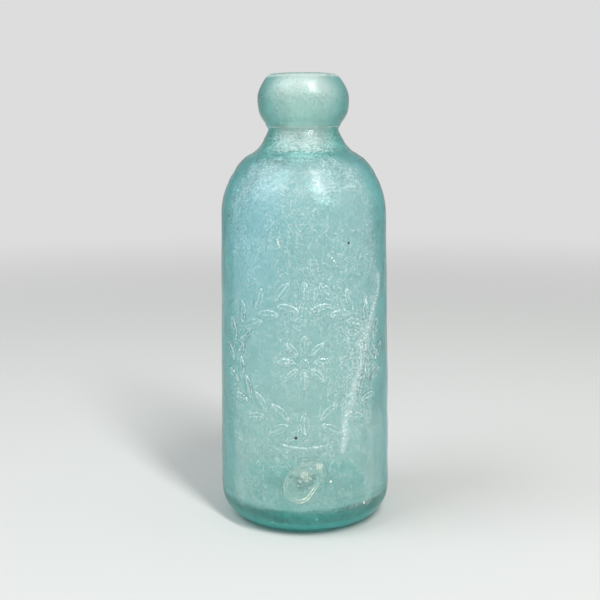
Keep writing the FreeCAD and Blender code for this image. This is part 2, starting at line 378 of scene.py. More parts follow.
# The waviness of the hand-made glass: wave height, wave length and seed
OUTSIDE_WAVES = ((0.10, 42, 11), (0.045, 13, 12), (0.02, 6, 13))
HOLLOW_WAVES = ((0.38, 46, 21), (0.12, 17, 22), (0.03, 7, 23))
BORE_WAVE = (0.05, 9, 24)
TOOLING_WAVE = (0.035, 2.6, 14)
TOOLING_TILT = 0.35
TOOLING_TILT_PHASE = 1.0
TOOLING_DRIFT = 0.02
SEAM_RELIEF = 0.2
SEAM_WIDTH = 0.4
SHRINKAGE = 0.10

# Heights between which each of them starts or ends
ORNAMENT_START = (8, 12)
ORNAMENT_END = (104, 112)
TOOLING_START = (122, 132)
TOOLING_END = (LIP_SEAM - 1, LIP_SEAM + 4)
SEAM_START = (9, 11)
SEAM_END = (LIP_SEAM - 8, LIP_SEAM - 5)
WAVES_START = (0, 9)
SHRINKAGE_START = (0, 6)
FORM_END = (HEIGHT - 0.6, HEIGHT - 0.1)
HOLLOW_WAVES_END = (BORE_BOTTOM - 6, BORE_BOTTOM + 6)


def between(start, end, z):
    """1 above one pair of heights and below another, and smooth across each."""
    return smooth(*start, z) * (1 - smooth(*end, z))


def outside_shift(arc, angle, z, places):
    """How far each place of the outside stands off its plain section, along its normal."""
    tilt = TOOLING_TILT * np.sin(np.radians(angle) + TOOLING_TILT_PHASE)
    rings = np.column_stack((z + tilt, TOOLING_DRIFT * arc))
    tooling = rolling(rings, TOOLING_WAVE) * between(TOOLING_START, TOOLING_END, z)
    seam = SEAM_RELIEF * np.exp(-(np.radians(np.abs(angle) - 90) * wall_radius(z) / SEAM_WIDTH) ** 2)
    form = np.interp(z, FORM_HEIGHTS, FORM_SHIFTS) * (1 - smooth(*FORM_END, z))
    return (
        form
        - SHRINKAGE * smooth(*SHRINKAGE_START, z)
        + rolling(places, *OUTSIDE_WAVES) * smooth(*WAVES_START, z)
        + tooling
        + seam * between(SEAM_START, SEAM_END, z)
        + ornament(arc, z) * between(ORNAMENT_START, ORNAMENT_END, z)
        - bruise(arc, z)
    )


def inside_shift(places, z):
    """The hollow was never touched by the mould, so it wanders more than the outside."""
    wander = rolling(places, *HOLLOW_WAVES) * (1 - smooth(*HOLLOW_WAVES_END, z))
    floor = np.interp(np.hypot(places[:, 0], places[:, 1]), FLOOR_RADII, FLOOR_SHIFTS)
    return wander + rolling(places, BORE_WAVE) + floor * (z < INNER_HEEL_TOP)


def ring_places(line, angles):
    """x, y, z of a grid: one ring of points for each point of the line."""
    turn = np.radians(angles)
    x = line[:, 0, None] * np.sin(turn)
    y = -line[:, 0, None] * np.cos(turn)
    z = np.repeat(line[:, 1, None], len(turn), axis=1)
    return np.stack((x, y, z), axis=-1)


def line_normals(line):
    """Outward normals (r, z) along a line that has the glass on its left."""
    run = np.gradient(line, axis=0)
    normals = np.column_stack((run[:, 1], -run[:, 0]))
    return normals / np.linalg.norm(normals, axis=1)[:, None]


def shifted(line, angles, shift):
    """A grid of rings with each place moved along its line's normal."""
    normals = line_normals(line)
    grid = ring_places(line, angles)
    push = ring_places(normals, angles)
    return grid + push * shift.reshape(len(line), len(angles), 1)


def outside_grid(angles):
    """The places of the outside, with their arcs and plain heights."""
    line = outside_line()
    grid = ring_places(line, angles).reshape(-1, 3)
    angle = np.tile(angles, len(line))
    z = np.repeat(line[:, 1], len(angles))
    arc = np.radians(angle) * wall_radius(z)
    return shifted(line, angles, outside_shift(arc, angle, z, grid)), arc, z


def inside_grid(angles):
    """The places of the hollow."""
    line = inside_line()
    grid = ring_places(line, angles).reshape(-1, 3)
    z = np.repeat(line[:, 1], len(angles))
    return shifted(line, angles, inside_shift(grid, z))


def column_angles():
    """Angles round the outside: fine in front, coarse behind, and close together at both seams."""
    fine = np.arange(-FINE_HALF_ANGLE, FINE_HALF_ANGLE + 0.01, FINE_COLUMN)
    behind = 360 - 2 * FINE_HALF_ANGLE
    count = int(behind / COARSE_COLUMN)
    coarse = FINE_HALF_ANGLE + behind * np.arange(1, count) / count
    coarse = np.where(coarse > 180, coarse - 360, coarse)
    near_seam = np.abs(np.abs(coarse) - 90) < SEAM_OFFSETS[-1] + COARSE_COLUMN / 2
    seams = [side * 90 + offset for side in (-1, 1) for offset in SEAM_OFFSETS]
    return np.sort(np.concatenate((fine, coarse[~near_seam], seams)))


def grid_faces(first, rows, columns):
    """Quads of a grid that closes round, its vertices numbered from first."""
    row = np.arange(rows - 1)[:, None] * columns
    here = np.arange(columns)
    beside = (here + 1) % columns
    corners = (row + here, row + beside, row + columns + beside, row + columns + here)
    return (np.stack(corners, axis=-1).reshape(-1, 4) + first).tolist()


def cap_faces(ring, middle, flip):
    """Triangles from a ring of vertices to one in its middle."""
    following = ring[1:] + ring[:1]
    if flip:
        return [(a, b, middle) for a, b in zip(ring, following)]
    return [(b, a, middle) for a, b in zip(ring, following)]


def ring_bridge(first_ring, first_angles, second_ring, second_angles):
    """Triangles between two rings that have different numbers of vertices."""
    faces = []
    i = j = 0
    n, m = len(first_ring), len(second_ring)
    while i < n or j < m:
        next_first = first_angles[i + 1] if i + 1 < n else first_angles[(i + 1) % n] + 360
        next_second = second_angles[j + 1] if j + 1 < m else second_angles[(j + 1) % m] + 360
        if j == m or (i < n and next_first <= next_second):
            faces.append((first_ring[i % n], first_ring[(i + 1) % n], second_ring[j % m]))
            i += 1
        else:
            faces.append((first_ring[i % n], second_ring[(j + 1) % m], second_ring[j % m]))
            j += 1
    return faces


# Bubbles caught in the wall: angle round, height, depth under the skin, length, width, lean
SHOWN_BUBBLES = (
    (-16.5, 111.1, 1.0, 2.6, 0.9, 18),
    (17.0, 22.2, 0.9, 1.3, 1.1, 0),
    (43.2, 11.1, 1.2, 1.4, 1.1, 30),
    (7.6, 7.4, 1.4, 1.3, 1.2, 0),
    (-23.5, 5.2, 1.6, 1.2, 0.9, 60),
    (-38.0, 158.0, 1.0, 1.3, 1.0, 0),
)
SEED_BUBBLES = 46
SEED_HEIGHTS = (14, 114)
SEED_DEPTHS = (0.9, 3.0)
SEED_LENGTHS = (0.3, 1.1)
SEED_WIDTHS = (0.22, 0.4)
SEED_LEANS = (-25, 25)
SEED_DRAW = 7
BUBBLE_RINGS = 6
BUBBLE_COLUMNS = 9


def seed_bubbles():
    """Small bubbles drawn out upwards, spread through the whole wall."""
    draw = np.random.default_rng(SEED_DRAW)
    limits = ((-180, 180), SEED_HEIGHTS, SEED_DEPTHS, SEED_LENGTHS, SEED_WIDTHS, SEED_LEANS)
    return [tuple(draw.uniform(*pair) for pair in limits) for _ in range(SEED_BUBBLES)]


def outside_radius(z):
    """Radius of the outside at a height, also on the shoulder, neck and lip."""
    line = outside_line()
    side = line[(line[:, 0] > NECK_R - 1) & (line[:, 1] < HEIGHT - 1)]
    return float(np.interp(z, side[:, 1], side[:, 0]))


def bubble(angle, z, depth, length, width, lean):
    """Vertices of a long round void, and its faces, which look into it."""
    polar = np.pi * (np.arange(1, BUBBLE_RINGS)) / BUBBLE_RINGS
    turns = 2 * np.pi * np.arange(BUBBLE_COLUMNS) / BUBBLE_COLUMNS
    body = [(0, 0, -length / 2)]
    for p in polar:
        for t in turns:
            body.append((width / 2 * math.sin(p) * math.cos(t), width / 2 * math.sin(p) * math.sin(t),
                         -length / 2 * math.cos(p)))
    body.append((0, 0, length / 2))
    place = (
        Matrix.Rotation(math.radians(angle), 4, "Z")
        @ Matrix.Translation((0, depth - outside_radius(z), z))
        @ Matrix.Rotation(math.radians(lean), 4, "Y")
    )
    places = [list(place @ Vector(v)) for v in body]
    n = BUBBLE_COLUMNS
    faces = []
    for ring in range(BUBBLE_RINGS - 2):
        for k in range(n):
            a, b = 1 + ring * n + k, 1 + ring * n + (k + 1) % n
            faces.append((a, a + n, b + n, b))
    last = len(body) - 1
    for k in range(n):
        faces.append((0, 1 + k, 1 + (k + 1) % n))
        top = last - n
        faces.append((last, top + (k + 1) % n, top + k))
    return places, faces


# Wear on the glass, and the side of the bruise's rim that takes a painted highlight, as plain fields at
# every vertex from which the material draws its fine marks
STREAK_PATH = (
    (33.5, 97.0), (32.8, 92.3), (24.6, 75.3), (21.2, 61.4), (17.5, 50.9), (15.4, 40.9), (14.6, 34.0))
STREAK_REACH = 8.0
STREAK_SWAY = (0.45, 12, 31)
BRUISE_FIELD_LIMIT = 1.5

# Pitted patches: arc, height, half width and half height
PITTED_PATCHES = ((22, 67, 10, 18), (22, 133, 5, 6))

# The bruise: how far its crushed middle and its chip reach, and the ways in which its rim is pale, a
# painted highlight on its lower right and a paler side on its left
CRUSHED_REACH = 2.3
CHIP_REACH = 1.4
CHIP_SHARE = 0.8
RIM_HIGHLIGHT_WAY = -62
RIM_HIGHLIGHT_SPREAD = (0.3, 1.0)
SIDE_RIM_WAY = 165
SIDE_RIM_SPREAD = (0.4, 1.0)
SIDE_RIM_SHARE = 0.6


def path_distance(arc, z, path):
    """Distance from a line of straight runs, laid flat on the wall."""
    nearest = np.full(len(arc), np.inf)
    for (a0, z0), (a1, z1) in zip(path, path[1:]):
        span = np.array((a1 - a0, z1 - z0))
        t = np.clip(((arc - a0) * span[0] + (z - z0) * span[1]) / (span @ span), 0, 1)
        nearest = np.minimum(nearest, np.hypot(arc - a0 - t * span[0], z - z0 - t * span[1]))
    return nearest


def wear(arc, z):
    """Distance from the whitish streak, the pitted patches, and the bruise with its middle and its rim,
    whose lower right is a painted highlight.
    """
    sway = rolling(np.column_stack((arc, z)), STREAK_SWAY)
    streak = np.minimum(path_distance(arc + sway, z, STREAK_PATH), STREAK_REACH)
    patches = [
        np.exp(-((arc - middle_arc) / half_width) ** 2 - ((z - middle_z) / half_height) ** 2)
        for middle_arc, middle_z, half_width, half_height in PITTED_PATCHES
    ]
    bowl, from_blow = bruise_bowl(arc, z)
    from_chip = np.hypot(arc - CHIP_ARC, z - CHIP_HEIGHT)
    chipped = CHIP_SHARE * np.exp(-(from_chip / CHIP_REACH) ** 2)
    way = np.degrees(np.arctan2(z - BRUISE_HEIGHT, arc - BRUISE_ARC))
    # Painted highlight: the rim is paler on its lower right
    rim_highlight = smooth(*RIM_HIGHLIGHT_SPREAD, np.cos(np.radians(way - RIM_HIGHLIGHT_WAY)))
    side_rim = SIDE_RIM_SHARE * smooth(*SIDE_RIM_SPREAD, np.cos(np.radians(way - SIDE_RIM_WAY)))
    return {
        "streak": streak,
        "pitted": np.max(patches, axis=0),
        "relief": ornament(arc, z) * between(ORNAMENT_START, ORNAMENT_END, z),
        "bowl": np.clip(bowl, -BRUISE_FIELD_LIMIT, BRUISE_FIELD_LIMIT),
        "crushed": np.maximum(np.exp(-(from_blow / CRUSHED_REACH) ** 2), chipped),
        "rim": np.maximum(rim_highlight, side_rim),
    }


def set_field(mesh, name, first, strength, elsewhere):
    """One number at every vertex: these from the first on, and one value elsewhere."""
    values = np.full(len(mesh.vertices), elsewhere, np.float32)
    values[first:first + len(strength)] = strength
    mesh.attributes.new(name, "FLOAT", "POINT").data.foreach_set("value", values)


def make_bottle():
    """The glass as one closed mesh: the outside, the hollow, and each bubble as a shell of its own."""
    outer_angles = column_angles()
    inner_angles = -180 + 360 * (np.arange(INNER_COLUMNS) + 0.5) / INNER_COLUMNS
    outer, arc, z = outside_grid(outer_angles)
    inner = inside_grid(inner_angles)
    rows, columns = outer.shape[:2]
    inner_rows = inner.shape[0]
    inner_first = rows * columns
    base_middle = inner_first + inner_rows * INNER_COLUMNS
    floor_middle = base_middle + 1
    middles = [[0, 0, KICKUP_HEIGHT], [0, 0, FLOOR_MIDDLE_HEIGHT]]
    places = np.vstack((outer.reshape(-1, 3), inner.reshape(-1, 3), middles))
    low_corner, high_corner = (np.array(corner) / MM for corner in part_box("bottle"))
    places = np.clip(places, low_corner + np.array((BOX_MARGIN, BOX_MARGIN, 0)), high_corner - BOX_MARGIN)
    faces = grid_faces(0, rows, columns) + grid_faces(inner_first, inner_rows, INNER_COLUMNS)
    faces += cap_faces(list(range(columns)), base_middle, False)
    last_ring = list(range(base_middle - INNER_COLUMNS, base_middle))
    faces += cap_faces(last_ring, floor_middle, True)
    mouth_ring = list(range(inner_first - columns, inner_first))
    bore_ring = list(range(inner_first, inner_first + INNER_COLUMNS))
    faces += ring_bridge(mouth_ring, outer_angles, bore_ring, inner_angles)
    places = places.tolist()
    for facts in list(SHOWN_BUBBLES) + seed_bubbles():
        bubble_places, bubble_faces = bubble(*facts)
        first = len(places)
        places += bubble_places
        faces += [tuple(first + k for k in face) for face in bubble_faces]
    mesh = bpy.data.meshes.new("bottle_glass")
    mesh.from_pydata((np.array(places) * MM).tolist(), [], faces)
    mesh.update()
    marks = wear(arc, z)
    elsewhere = {"streak": STREAK_REACH, "bowl": -BRUISE_FIELD_LIMIT}
    for name, strength in marks.items():
        set_field(mesh, name, 0, strength, elsewhere.get(name, 0))
    set_field(mesh, "inside", inner_first, np.ones(len(places) - inner_first), 0)
    set_field(mesh, "seed", floor_middle + 1, np.ones(len(places) - floor_middle - 1), 0)
    mesh.polygons.foreach_set("use_smooth", np.ones(len(mesh.polygons), bool))
    glass = bpy.data.objects.new("bottle_glass", mesh)
    bpy.context.scene.collection.objects.link(glass)
    return glass


class Nodes:
    """Short calls that add and join the nodes of one material or world."""

    def __init__(self, owner):
        owner.use_nodes = True
        self.tree = owner.node_tree
        self.tree.nodes.clear()

    def add(self, kind, inputs=(), **settings):
        """A node with these settings, and its inputs set to plain values or joined to outputs."""
        node = self.tree.nodes.new(kind)
        for name, value in settings.items():
            setattr(node, name, value)
        for socket, value in dict(inputs).items():
            if isinstance(value, bpy.types.NodeSocket):
                self.tree.links.new(value, node.inputs[socket])
            else:
                node.inputs[socket].default_value = value
        return node

    def math(self, operation, first, second=0.0, clamp=False):
        inputs = {0: first, 1: second}
        return self.add("ShaderNodeMath", inputs, operation=operation, use_clamp=clamp).outputs[0]

    def ramp(self, value, low, high, out_low=0.0, out_high=1.0):
        inputs = {"Value": value, "From Min": low, "From Max": high, "To Min": out_low, "To Max": out_high}
        return self.add("ShaderNodeMapRange", inputs, interpolation_type="SMOOTHSTEP").outputs["Result"]

    def blend(self, share, first, second):
        inputs = {"Factor": share, "A": first, "B": second}
        return self.add("ShaderNodeMix", inputs, data_type="FLOAT").outputs["Result"]

    def blend_colour(self, share, first, second):
        inputs = {0: share, 6: first, 7: second}
        return self.add("ShaderNodeMix", inputs, data_type="RGBA").outputs[2]

    def attribute(self, name):
        return self.add("ShaderNodeAttribute", attribute_name=name).outputs["Fac"]

    def mapped(self, turn, squeeze):
        """Object coordinates in millimetres, turned and then squeezed along each axis."""
        inputs = {
            "Vector": self.add("ShaderNodeTexCoord").outputs["Object"],
            "Rotation": [math.radians(angle) for angle in turn],
            "Scale": [share / MM for share in squeeze],
        }
        return self.add("ShaderNodeMapping", inputs, vector_type="POINT").outputs["Vector"]

    def noise(self, vector, scale, detail, roughness=0.5):
        inputs = {"Vector": vector, "Scale": scale, "Detail": detail, "Roughness": roughness}
        return self.add("ShaderNodeTexNoise", inputs).outputs["Fac"]

    def chain(self, operation, values):
        """The values joined one after another by one operation."""
        result = values[0]
        for value in values[1:]:
            result = self.math(operation, result, value)
        return result

    def sum(self, *values):
        return self.chain("ADD", values)

    def product(self, *values):
        return self.chain("MULTIPLY", values)

    def highest(self, *values):
        return self.chain("MAXIMUM", values)

    def rest(self, share):
        """What a share leaves of 1."""
        return self.math("SUBTRACT", 1.0, share)

    def weighted(self, parts):
        """The sum of several fields, each with its own weight."""
        return self.sum(*(self.product(field, weight) for field, weight in parts))

    def layers(self, colour, coats):
        """A colour with others laid over it, each by its own share."""
        for share, coat in coats:
            colour = self.blend_colour(share, colour, coat)
        return colour

    def near(self, value, middle, reach, top=1.0, flat=0.0):
        """The top where a value is within a flat distance of the middle, down to 0 at its reach."""
        off = self.math("ABSOLUTE", self.math("SUBTRACT", value, middle))
        return self.ramp(off, flat, reach, top, 0.0)

    def level_lines(self, turn, squeeze, scale, width):
        """Thin wandering lines, the level lines of a noise. A squeezed noise draws them one way."""
        return self.near(self.noise(self.mapped(turn, squeeze), scale, 1.0), 0.5, width)

    def spots(self, facts):
        """1 within spots on the outside, each given by its arc, its height and its radius."""
        shares = []
        for arc, height, radius in facts:
            inputs = {0: self.mapped((0, 0, 0), (1, 1, 1)), 1: front_place(arc, height)}
            away = self.add("ShaderNodeVectorMath", inputs, operation="DISTANCE").outputs["Value"]
            low, high = (radius * share for share in SPOT_EDGE)
            shares.append(self.ramp(away, low, high, 1.0, 0.0))
        return self.highest(*shares)


def front_place(arc, z):
    """The place on the glass at an arc from the front line and a height, also down in the bruise."""
    turn = arc / wall_radius(z)
    r = wall_radius(z) - float(bruise(np.array([arc]), np.array([z]))[0])
    return (r * math.sin(turn), -r * math.cos(turn), z)


# The finish, in millimetres
IOR = 1.51
ABSORPTION_DENSITY = 60.0
ABSORPTION_COLOUR = (0.25, 0.86, 0.84, 1)
# The neck is tinted pale: partly a stain, partly painted light inside the glass
NECK_STAIN_AND_LIGHT_SHARE = 0.6
STREAK_COLOUR_BAND = (0.0, 0.3)
SCUFFED_TOOLED_SHARE = 0.5
LEAST_RIM = 0.22
# Haze inside every bubble: a painted highlight, so the bubbles show pale
BUBBLE_HIGHLIGHT_HAZE = 0.85
CRACK_HAZE = 0.6
STAIN_GAIN = 1.5
PATCH_ROUGHNESS = 0.05
WHITE_ROUGHNESS = 0.2
INSIDE_ROUGHNESS = 0.05
GROOVE_SWAY = 0.8
GROOVE_DEPTH = 0.2
BUMP_STRENGTH = 0.7

# Tints of the glass low and high on the body, where it is seen edge-on, and at the base. The edge-on tints
# are painted shade, laid on by the angle of view
LOW_GLASS_COLOUR = (0.77, 0.912, 0.89, 1)
# The high tint is partly the glass's own tint and partly a painted cool reflection, strongest on the upper
# left
HIGH_GLASS_AND_REFLECTION_COLOUR = (0.70, 0.93, 0.985, 1)
EDGE_ON_SHADE_COLOUR = (0.02, 0.57, 0.57, 1)
NECK_EDGE_SHADE_COLOUR = (0.02, 0.66, 0.58, 1)
LIP_EDGE_SHADE_COLOUR = (0.08, 0.37, 0.35, 1)
BASE_COLOUR = (0.32, 0.89, 0.85, 1)
BASE_EDGE_SHADE_COLOUR = (0.03, 0.68, 0.65, 1)
HOLLOW_FLOOR_COLOUR = (0.95, 0.99, 0.97, 1)

# Colours of the marks
CREAM_COLOUR = (0.90, 0.94, 0.82, 1)
STREAK_COLOUR = (0.85, 0.97, 0.98, 1)
STAIN_COLOUR = (0.93, 0.95, 0.90, 1)
# Painted shade: a darker grey-green laid in the bruise's bowl
BRUISE_SHADE_COLOUR = (0.62, 0.77, 0.69, 1)
# Painted contact shadow: a darker tint at the foot of the base
BASE_CONTACT_SHADE_COLOUR = (0.34, 0.62, 0.58, 1)
CRACK_COLOUR = (0.10, 0.26, 0.27, 1)
SPECK_COLOUR = (0.02, 0.03, 0.03, 1)

# Spots: arc, height and radius, and the shares of the radius between which they fade
SPOT_EDGE = (0.7, 1.3)
DARK_SPECKS = ((16.9, 110.6, 0.5), (-3.3, 39.3, 0.62))
# Most pale specks are painted highlights on the bubbles in the wall
BUBBLE_HIGHLIGHTS_AND_SPECKS = (
    (-9.75, 112.2, 0.30), (-9.5, 111.4, 0.42), (-9.2, 110.5, 0.42), (-8.9, 109.7, 0.28), (9.7, 22.2, 0.5),
    (24.6, 11.1, 0.45), (4.3, 7.4, 0.45), (-13.3, 4.6, 0.4), (11.0, 104.5, 0.35), (10.3, 105.6, 0.3))
CRUSHED_SPOTS = ((-0.2, 24.6, 1.7), (1.3, 23.2, 1.2), (5.4, 28.4, 1.5), (-1.9, 22.6, 0.9))
CRACK_SPOTS = ((-1.0, 20.9, 2.5), (-5.4, 24.4, 1.2), (1.6, 21.9, 1.7), (3.3, 24.2, 1.1), (-3.2, 23.0, 1.3))

# Level lines of a noise: turn, squeeze, scale and width
SCRATCH_LINES = (((8, 4, 0), (1, 1, 0.06), 1.3, 0.014), ((35, 20, 10), (1, 1, 0.08), 1.1, 0.012))
TOOLING_LINES = ((2, 1, 0), (0.05, 0.05, 1.0), 1.2, 0.05)

# Noises: upward squeeze, scale, detail and roughness
NOISES = {
    "grain": (1, 1.1, 4.0, 0.7),
    "grit": (1, 3.0, 2.0, 0.6),
    "patch_noise": (1, 0.07, 4.0, 0.6),
    "blotch_noise": (1, 0.35, 2.0, 0.5),
    "wrinkles": (1, 0.85, 1.5, 0.5),
    "pit_noise": (1, 0.9, 3.0, 0.7),
    "scuff_noise": (1, 0.05, 3.0, 0.5),
    "scratch_noise": (1, 0.2, 2.0, 0.5),
    "run_noise": (0.08, 0.9, 3.0, 0.5),
    "drip_noise": (0.10, 0.8, 3.0, 0.5),
}

MESH_FIELDS = ("inside", "seed", "streak", "pitted", "relief", "bowl", "crushed", "rim")

# Fields that change smoothly between two values of their source, from 0 to 1 or as two more numbers say
BANDS = {
    "z": {
        "on_lip": (LIP_SEAM, LIP_SEAM + 3),
        "on_neck": (LIP_SEAM - 13, LIP_SEAM - 4),
        "on_shoulder": (106.0, 124.0),
        "on_base": (11.0, 9.0),
        "base_edge": (12.0, 9.0),
        "above_base": (8.5, 10.5, 0.08, 1.0),
        "base_worn": (4.0, 0.8, 0.0, 0.8),
        "high": (30.0, 130.0),
        "high_end": (LIP_SEAM - 8, LIP_SEAM, 1.0, 0.0),
        "tooled_start": (124, 131),
        "tooled_end": (LIP_SEAM, LIP_SEAM - 2),
        "scuffed_top": (112, 124, 1.0, 0.7),
        "scuffed_foot": (20, 40, 0.6, 1.0),
        "furrow_share": (LIP_SEAM, LIP_SEAM + 2, 0.42, 0.12),
        "lip_top": (HEIGHT - 0.6, HEIGHT - 0.1, 0.0, 0.15),
        "lip_crown": (158, 169, 0.0, 0.26),
        "lip_roughness": (158, 166, 0.0, 0.20),
        "lip_bump": (LIP_SEAM, LIP_SEAM + 2, 1.0, 0.35),
        "wall_edge_share": (30.0, 80.0, 0.09, 0.03),
        "drip_share": (10.2, 8.6),
        "low_film": (14.0, 26.0, 0.32, 0.0),
        "floor_film": (9.2, 9.8, 0.8, 1.0),
        "tide_top": (34.0, 50.0, 0.34, 0.0),
        "tide_foot": (9.0, 9.6),
        "ring_foot": (9.6, 9.9),
        "ring_top": (11.5, 13.5, 0.6, 0.0),
        "bore_film": (BORE_BOTTOM - 1, BORE_BOTTOM + 4, 0.0, 0.45),
        "hollow_floor": (26.0, 12.0),
        "glow_top": (38.0, 54.0, 0.85, 0.0),
    },
    "x": {"high_side": (-24.0, 4.0, 1.0, 0.35)},
    "y": {"tide_front": (-4, -10), "glow_front": (-6, -12)},
    # By the angle of view: the tints are painted shade at the edges, and the veil share thins the haze
    # there
    "edge_on": {
        "wall_tint": (0.44, 0.56, 0.0, 0.64),
        "rim_tint": (0.56, 0.82, 0.0, 0.36),
        "shoulder_tint": (0.32, 0.76),
        "neck_tint": (0.12, 0.62, 0.0, 0.8),
        "veil_share": (0.5, 0.95, 1.0, 0.4),
    },
    "bowl": {"bowl_film": (-0.5, 0.2, 0.0, 0.09), "bruised": (-0.5, 0.1, 0.0, 0.5), "cream": (-0.1, 0.1)},
    "pitted": {"pitted_scuffs": (0.0, 1.0, 1.0, 1.4), "pitted_furrows": (0.0, 1.0, 1.0, 1.5)},
    "streak": {"in_streak": (0.0, 3.6, 1.0, 0.0)},
    "grain": {
        "scuff_grain": (0.46, 0.67),
        "streak_grain": (0.34, 0.62, 0.5, 1.0),
        "outline_grain": (0.35, 0.6, 0.1, 0.6),
        "foot_grain": (0.3, 0.6, 0.5, 0.15),
        "rim_grain": (0.3, 0.6, 0.55, 1.0),
        "worn_grain": (0.3, 0.6, 0.4, 1.0),
        "faint_grain": (0.3, 0.6, 0.6, 1.0),
        "lip_grain": (0.35, 0.65, 0.10, 0.26),
        "grain_roughness": (0.3, 0.75, 0.05, 0.15),
    },
    "grit": {
        "broken_grit": (0.55, 0.47, 0.0, 0.9),
        "crushed_grit": (0.40, 0.62, 0.0, 0.6),
        "glint_grit": (0.40, 0.60),
        "groove_grit": (0.40, 0.60, 0.25, 1.0),
    },
    "patch_noise": {"patches": (0.36, 0.66)},
    "blotch_noise": {"blotches": (0.42, 0.62)},
    "pit_noise": {"holes": (0.52, 0.62)},
    "scuff_noise": {"scuffs": (0.38, 0.58, 0.5, 1.0)},
    "scratch_noise": {"scratched": (0.42, 0.62)},
    "run_noise": {"runs": (0.46, 0.66, 0.0, 0.05)},
    "drip_noise": {"drips": (0.36, 0.66, 0.06, 0.17)},
}

# Fields that are highest where their source has one value: that value, the reach to either side, and the
# top and how far it is flat, if they aren't 1 and 0
LINES = {
    "x": {"tide_line": (23.5, 4.5), "glow_line": (27.6, 4.0)},
    "z": {
        "lip_edge": (HEIGHT - 0.9, 1.0),
        "worn_neck": (LIP_SEAM - 5, 7.0, 0.18, 2.0),
        "shoulder_veil": (129, 15, 0.08),
        "shoulder_roughness": (130, 16, 0.07),
        "shoulder_smoothing": (130, 16, 0.4),
    },
    "swayed_z": {"groove": (LIP_SEAM + 1.25, 0.5)},
    "edge_on": {"wall_edge": (0.41, 0.08)},
    "bowl": {
        "bruise_outline": (-0.06, 0.14),
        "outer_outline": (-0.46, 0.18, 0.7),
        "outer_rim": (0.10, 0.13, 0.62),
        "inner_rim": (0.46, 0.14, 0.62),
        "rim_glow": (0.30, 0.42, 0.38),
    },
    # The relief's edges are worn pale and partly a painted highlight; the line at its foot is painted shade
    "relief": {"relief_edge": (0.28, 0.26, 0.42), "relief_foot": (0.07, 0.07)},
    "wrinkles": {"worms": (0.50, 0.07), "wrinkle_furrows": (0.59, 0.05)},
}


def shared_fields(nodes):
    """All that the finish is drawn from, by name: places, the mesh's fields, noises and shared marks."""
    at = SimpleNamespace(**{name: nodes.attribute(name) for name in MESH_FIELDS})
    at.whole = nodes.mapped((0, 0, 0), (1, 1, 1))
    at.x, at.y, at.z = nodes.add("ShaderNodeSeparateXYZ", {0: at.whole}).outputs
    at.outside = nodes.rest(at.inside)
    at.edge_on = nodes.add("ShaderNodeLayerWeight").outputs["Facing"]
    for name, (squeeze, *recipe) in NOISES.items():
        place = at.whole if squeeze == 1 else nodes.mapped((0, 0, 0), (1, 1, squeeze))
        setattr(at, name, nodes.noise(place, *recipe))
    at.swayed_z = nodes.sum(at.z, nodes.product(at.grain, GROOVE_SWAY))
    for table, draw in ((BANDS, nodes.ramp), (LINES, nodes.near)):
        for source, fields in table.items():
            for name, numbers in fields.items():
                setattr(at, name, draw(getattr(at, source), *numbers))

    at.tooled = nodes.product(at.tooled_start, at.tooled_end)
    at.tooling = nodes.product(nodes.level_lines(*TOOLING_LINES), at.tooled)
    scratches = nodes.highest(*(nodes.level_lines(*lines) for lines in SCRATCH_LINES))
    at.scratches = nodes.product(scratches, at.scratched)
    at.pits = nodes.product(at.holes, at.pitted)
    at.pale_streak = nodes.product(at.in_streak, at.streak_grain)
    scuffed = nodes.highest(at.scuffs, nodes.product(at.tooled, SCUFFED_TOOLED_SHARE))
    at.scuffed = nodes.product(scuffed, at.scuffed_top, at.scuffed_foot)
    return at


def dark_marks(nodes, at):
    """Cracks in the bruise and round it, painted shade along the foot of the relief, and furrows in the
    worn skin.
    """
    outline = nodes.highest(at.bruise_outline, at.outer_outline)
    return nodes.highest(
        nodes.product(nodes.spots(CRACK_SPOTS), at.broken_grit),
        nodes.product(outline, at.outline_grain),
        # Painted shade along the foot of the relief
        nodes.product(at.relief_foot, at.foot_grain),
        nodes.product(at.wrinkle_furrows, at.scuffed, at.furrow_share, at.outside, at.pitted_furrows),
    )


def pale_marks(nodes, at):
    """The streak, the bruise's crushed glass and rims, whose lower right is a painted highlight, the lip's
    worn edges and pits, and the pale specks and bubble haze, most of them painted highlights on the
    bubbles.
    """
    glints = nodes.product(nodes.spots(CRUSHED_SPOTS), at.glint_grit)
    crushed = nodes.highest(nodes.product(at.crushed, at.crushed_grit), glints)
    # The rims are pale all round and more so on the lower right, which is a painted highlight
    rims = nodes.sum(nodes.highest(at.outer_rim, at.inner_rim), at.rim_glow)
    rims = nodes.product(nodes.highest(at.rim, LEAST_RIM), rims, at.rim_grain)
    white = nodes.weighted((
        (at.pale_streak, 0.58),
        (crushed, 0.9),
        (rims, 0.9),
        (nodes.product(nodes.sum(at.lip_edge, at.lip_top), at.worn_grain), 0.6),
        (nodes.product(at.groove, at.groove_grit), 0.85),
        (at.pits, 0.36),
    ))
    # Pale specks, most of them painted highlights on bubbles
    white = nodes.highest(white, nodes.spots(BUBBLE_HIGHLIGHTS_AND_SPECKS))
    white = nodes.math("MULTIPLY", white, at.outside, clamp=True)
    # Painted highlight: white haze inside every bubble
    return nodes.highest(white, nodes.product(at.seed, BUBBLE_HIGHLIGHT_HAZE))


